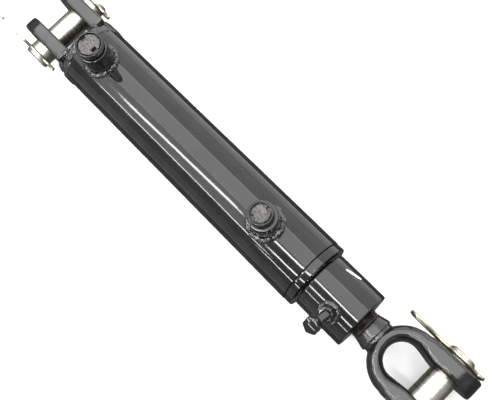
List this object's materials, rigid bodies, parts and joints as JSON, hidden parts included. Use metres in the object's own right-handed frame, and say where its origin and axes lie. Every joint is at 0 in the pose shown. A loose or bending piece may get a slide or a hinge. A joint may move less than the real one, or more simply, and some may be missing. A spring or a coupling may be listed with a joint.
{
  "type": "hydraulic cylinder",
  "caption": "Welded double-acting hydraulic cylinder in gloss black, with a pinned clevis at each end, plugged ports and a threaded rod yoke locked by a side bolt.",
  "frame": {"origin": "under the middle of the whole object, on the surface that the barrel lies on", "axes": "+X along the cylinder from the base clevis to the rod clevis, +Y along the clevis pins, +Z towards the ports"},
  "size_m": [0.5614, 0.0829, 0.095],
  "materials": {
    "black_paint": "gloss black enamel over steel, slightly orange-peeled, with thin spots on edges",
    "painted_weld": "gloss black enamel over a lumpy arc weld bead",
    "chromed_rod": "hard chrome, ground and polished",
    "machined_steel": "turned steel, lightly oiled",
    "ductile_iron": "machined ductile iron",
    "zinc_plate": "zinc plate with a faint yellow passivation, fine turning marks",
    "seal_rubber": "moulded nitrile or urethane seal",
    "guide_nylon": "glass-filled nylon guide ring",
    "plug_plastic": "painted-over slotted shipping plug"
  },
  "bodies": {
    "barrel": {"barrel_tube": "black_paint", "base_cap": "black_paint", "base_cap_weld": "painted_weld", "base_lug_left": "black_paint", "base_lug_right": "black_paint", "base_lug_left_weld": "painted_weld", "base_lug_right_weld": "painted_weld", "base_port_boss": "black_paint", "rod_port_boss": "black_paint", "base_port_weld": "painted_weld", "rod_port_weld": "painted_weld", "gland_head": "black_paint", "gland_o_ring": "seal_rubber", "gland_backup_ring": "guide_nylon", "rod_seal": "seal_rubber", "rod_guide_ring": "guide_nylon", "rod_wiper": "seal_rubber"},
    "piston_rings": {"piston_seal": "seal_rubber", "piston_wear_ring_rear": "guide_nylon", "piston_wear_ring_front": "guide_nylon"},
    "rod": {"piston_rod": "chromed_rod", "piston": "ductile_iron", "piston_nut": "machined_steel", "piston_o_ring": "seal_rubber", "rod_end_coupling": "black_paint", "coupling_nut": "black_paint", "coupling_nut_weld": "painted_weld"},
    "yoke": {"rod_yoke": "black_paint"},
    "rod_pin": {"rod_pin": "zinc_plate", "rod_pin_clip_left": "zinc_plate", "rod_pin_clip_right": "zinc_plate"},
    "base_pin": {"base_pin": "zinc_plate", "base_pin_clip_left": "zinc_plate", "base_pin_clip_right": "zinc_plate"},
    "lock_washer": {"lock_washer": "black_paint"},
    "lock_bolt": {"lock_bolt": "black_paint"},
    "base_plug_seal": {"base_plug_seal": "seal_rubber"},
    "base_plug": {"base_port_plug": "plug_plastic"},
    "rod_plug_seal": {"rod_plug_seal": "seal_rubber"},
    "rod_plug": {"rod_port_plug": "plug_plastic"}
  },
  "joints": [
    {"name": "rod_slide", "type": "slide", "parent": "barrel", "child": "piston_rings", "axis": [1, 0, 0], "range_m": [0, 0.1524]},
    {"name": "rod_turn", "type": "hinge", "parent": "piston_rings", "child": "rod", "pos_m": [0, 0, 0.0326], "axis": [1, 0, 0], "continuous": true},
    {"name": "yoke_turn", "type": "hinge", "parent": "rod", "child": "yoke", "pos_m": [0.1614, 0, 0.0326], "axis": [1, 0, 0], "continuous": true},
    {"name": "rod_pin_turn", "type": "hinge", "parent": "yoke", "child": "rod_pin", "pos_m": [0.2286, 0, 0.0326], "axis": [0, 1, 0], "continuous": true},
    {"name": "base_pin_turn", "type": "hinge", "parent": "barrel", "child": "base_pin", "pos_m": [-0.2286, 0, 0.0326], "axis": [0, 1, 0], "continuous": true},
    {"name": "lock_bolt_travel", "type": "slide", "parent": "rod", "child": "lock_washer", "axis": [0, -0.5592, 0.829], "range_m": [0, 0.01875]},
    {"name": "lock_bolt_turn", "type": "hinge", "parent": "lock_washer", "child": "lock_bolt", "pos_m": [0.1337, 0, 0.0326], "axis": [0, -0.5592, 0.829], "range_deg": [0, 5400.01]},
    {"name": "base_plug_travel", "type": "slide", "parent": "barrel", "child": "base_plug_seal", "axis": [0, 0, 1], "range_m": [0, 0.01111]},
    {"name": "base_plug_turn", "type": "hinge", "parent": "base_plug_seal", "child": "base_plug", "pos_m": [-0.1609, 0, 0.0326], "axis": [0, 0, 1], "range_deg": [0, 2520.01]},
    {"name": "rod_plug_travel", "type": "slide", "parent": "barrel", "child": "rod_plug_seal", "axis": [0, 0, 1], "range_m": [0, 0.01111]},
    {"name": "rod_plug_turn", "type": "hinge", "parent": "rod_plug_seal", "child": "rod_plug", "pos_m": [0.0484, 0, 0.0326], "axis": [0, 0, 1], "range_deg": [0, 2520.01]}
  ],
  "couplings": [
    {"joint": "lock_bolt_turn", "follows": "lock_bolt_travel", "rad_per_m": 5026.5},
    {"joint": "base_plug_turn", "follows": "base_plug_travel", "rad_per_m": 3957.9},
    {"joint": "rod_plug_turn", "follows": "rod_plug_travel", "rad_per_m": 3957.9}
  ]
}
